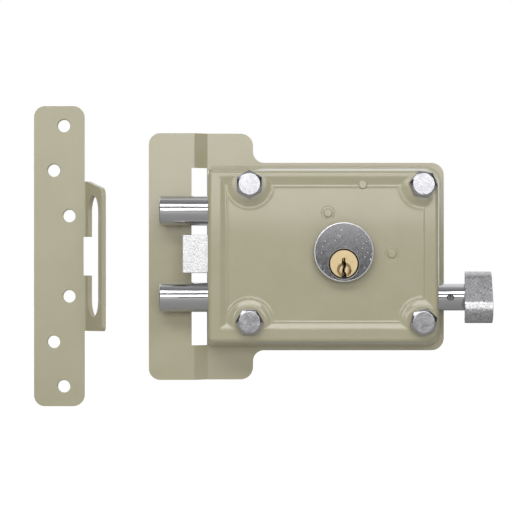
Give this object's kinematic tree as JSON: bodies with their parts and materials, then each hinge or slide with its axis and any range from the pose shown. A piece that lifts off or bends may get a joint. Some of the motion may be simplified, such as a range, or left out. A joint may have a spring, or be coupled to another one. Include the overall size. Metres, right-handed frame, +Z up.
{
  "type": "rim lock",
  "caption": "Surface-mounted rim lock with round deadbolts thrown by a key cylinder, a spring latch drawn by a pull knob, and a separate bent strike plate.",
  "frame": {"origin": "centre of the four mounting bolts' pattern, on the door face (the back of the base plate)", "axes": "+X from the bolts' tips towards the knob (the bolts shoot towards -X), +Y from the room into the door, +Z up the door"},
  "size_m": [0.2483, 0.0453, 0.1636],
  "materials": {
    "painted_steel": "gloss grey-beige powder coat",
    "chromed_steel": "bright chrome plate",
    "cast_zinc": "chromed casting, slightly pitted",
    "nickelled_brass": "nickelled, fine turned face",
    "zinc_steel": "zinc plated",
    "brass": "turned brass"
  },
  "bodies": {
    "case": {"base_plate": "painted_steel", "cover": "painted_steel", "case_posts": "painted_steel", "hex_bolts": "chromed_steel", "bolt_guide": "zinc_steel", "guide_screws": "zinc_steel", "stem_guide": "zinc_steel", "strike_plate": "painted_steel", "cylinder_body": "nickelled_brass", "cylinder_nut": "zinc_steel", "driver_pins": "zinc_steel", "pin_springs": "zinc_steel", "chamber_cap": "brass", "spring_bracket": "zinc_steel"},
    "deadbolts": {"deadbolt_upper": "chromed_steel", "deadbolt_lower": "chromed_steel", "bolt_carriage": "zinc_steel", "carriage_pins": "zinc_steel"},
    "key_plug": {"cylinder_plug": "brass", "plug_circlip": "zinc_steel", "tail_spindle": "zinc_steel", "drive_pinion": "zinc_steel", "key_pins": "brass"},
    "latch": {"latch_bolt": "cast_zinc", "latch_tail": "zinc_steel", "latch_rivets": "zinc_steel", "latch_spring": "zinc_steel"},
    "pull": {"pull_knob": "cast_zinc", "draw_rod": "zinc_steel", "roll_pin": "zinc_steel"}
  },
  "joints": [
    {"name": "deadbolt_slide", "type": "slide", "parent": "case", "child": "deadbolts", "axis": [1, 0, 0], "range_m": [0, 0.025]},
    {"name": "key_turn", "type": "hinge", "parent": "case", "child": "key_plug", "pos_m": [0.0038, -0.01, -0.0056], "axis": [0, -1, 0], "range_deg": [0, 358.2]},
    {"name": "latch_slide", "type": "slide", "parent": "case", "child": "latch", "axis": [1, 0, 0], "range_m": [0, 0.0126], "stiffness_N_per_m": 150, "springref_m": -0.01, "deforming": ["latch_spring"]},
    {"name": "knob_pull", "type": "slide", "parent": "case", "child": "pull", "axis": [1, 0, 0], "range_m": [0, 0.0126]}
  ],
  "couplings": [
    {"joint": "key_turn", "follows": "deadbolt_slide", "rad_per_m": 250},
    {"joint": "knob_pull", "follows": "latch_slide", "ratio": 1}
  ]
}
